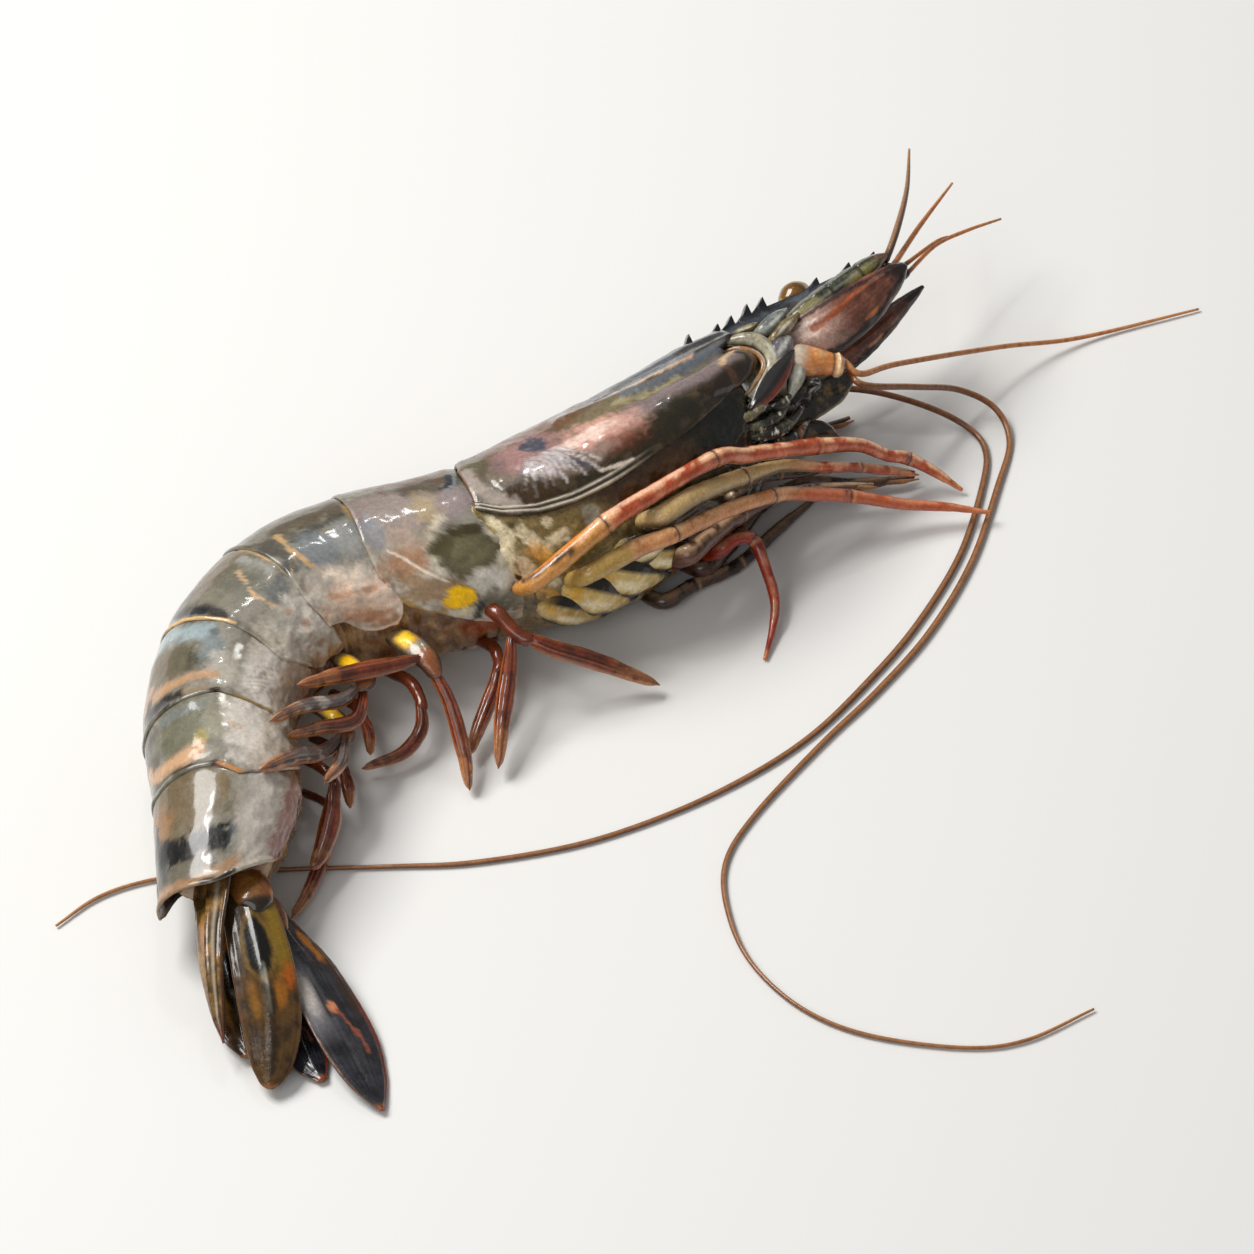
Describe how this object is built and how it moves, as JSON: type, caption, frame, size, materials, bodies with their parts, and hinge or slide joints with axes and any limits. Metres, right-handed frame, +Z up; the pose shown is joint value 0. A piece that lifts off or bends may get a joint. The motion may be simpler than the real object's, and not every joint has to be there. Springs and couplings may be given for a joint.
{
  "type": "raw tiger prawn",
  "caption": "Raw prawn in its shell, lying on its side with the tail curled round, its legs and swimmerets spread and its long feelers trailing on the ground.",
  "frame": {"origin": "on the ground, under the middle of the bounding box of the whole prawn, feelers included", "axes": "+X along the carapace towards the head, +Y towards the prawn's back, +Z up; the prawn lies on its left side"},
  "size_m": [0.2154, 0.1416, 0.0265],
  "materials": {
    "carapace": "wet shell, near black along the back, olive brown with a pinkish sheen on the side",
    "thorax": "wet translucent olive yellow shell with cream mottling, yellow at the legs' roots",
    "segments": "wet grey green shell with dark bands, tan joint lines and a pinkish flank",
    "tail_fan": "wet blue black and red brown with orange yellow patches and edges",
    "head_front": "wet grey cream flesh and shell",
    "mouthparts": "wet black brown",
    "eyes": "glossy gold brown",
    "feeler_stalks": "wet green grey with a yellow green patch",
    "feeler_scales": "wet mauve to red brown with an orange streak and a dark tip",
    "feeler_bases": "wet grey white to orange with a cream ring",
    "legs": "wet orange red with cream lights and dark joint rings",
    "swimmerets": "wet translucent maroon with orange tips and yellow spots",
    "feelers": "thin brown whips, tan where the light catches them"
  },
  "bodies": {
    "root": {"carapace": "carapace", "thorax": "thorax", "segment_1": "segments", "segment_2": "segments", "segment_3": "segments", "segment_4": "segments", "segment_5": "segments", "segment_6": "segments", "telson": "tail_fan", "uropod_inner_right": "tail_fan", "uropod_outer_right": "tail_fan", "uropod_inner_left": "tail_fan", "uropod_outer_left": "tail_fan", "head_front": "head_front", "mouthparts": "mouthparts", "eye_right": "eyes", "eye_left": "eyes", "feeler_stalk_upper_right": "feeler_stalks", "feeler_stalk_upper_left": "feeler_stalks", "feeler_scale_right": "feeler_scales", "feeler_scale_left": "feeler_scales", "feeler_base_right": "feeler_bases", "feeler_base_left": "feeler_bases", "cheek_plate": "mouthparts", "jaw_leg_right": "mouthparts", "jaw_leg_left": "mouthparts", "walking_leg_right_1": "legs", "walking_leg_right_2": "legs", "walking_leg_right_3": "legs", "walking_leg_right_4": "legs", "walking_leg_right_5": "legs", "walking_leg_left_1": "legs", "walking_leg_left_2": "legs", "walking_leg_left_3": "legs", "walking_leg_left_4": "legs", "walking_leg_left_5": "legs", "swimmeret_right_1": "swimmerets", "swimmeret_right_2": "swimmerets", "swimmeret_right_3": "swimmerets", "swimmeret_right_4": "swimmerets", "swimmeret_right_5": "swimmerets", "swimmeret_left_1": "swimmerets", "swimmeret_left_2": "swimmerets", "swimmeret_left_3": "swimmerets", "swimmeret_left_4": "swimmerets", "swimmeret_left_5": "swimmerets", "feeler_short_dark": "feelers", "feeler_short_orange": "feelers", "feeler_short_small": "feelers", "feeler_short_bright": "feelers", "feeler_long_ahead": "feelers", "feeler_long_round": "feelers", "feeler_long_back": "feelers"}
  },
  "joints": []
}
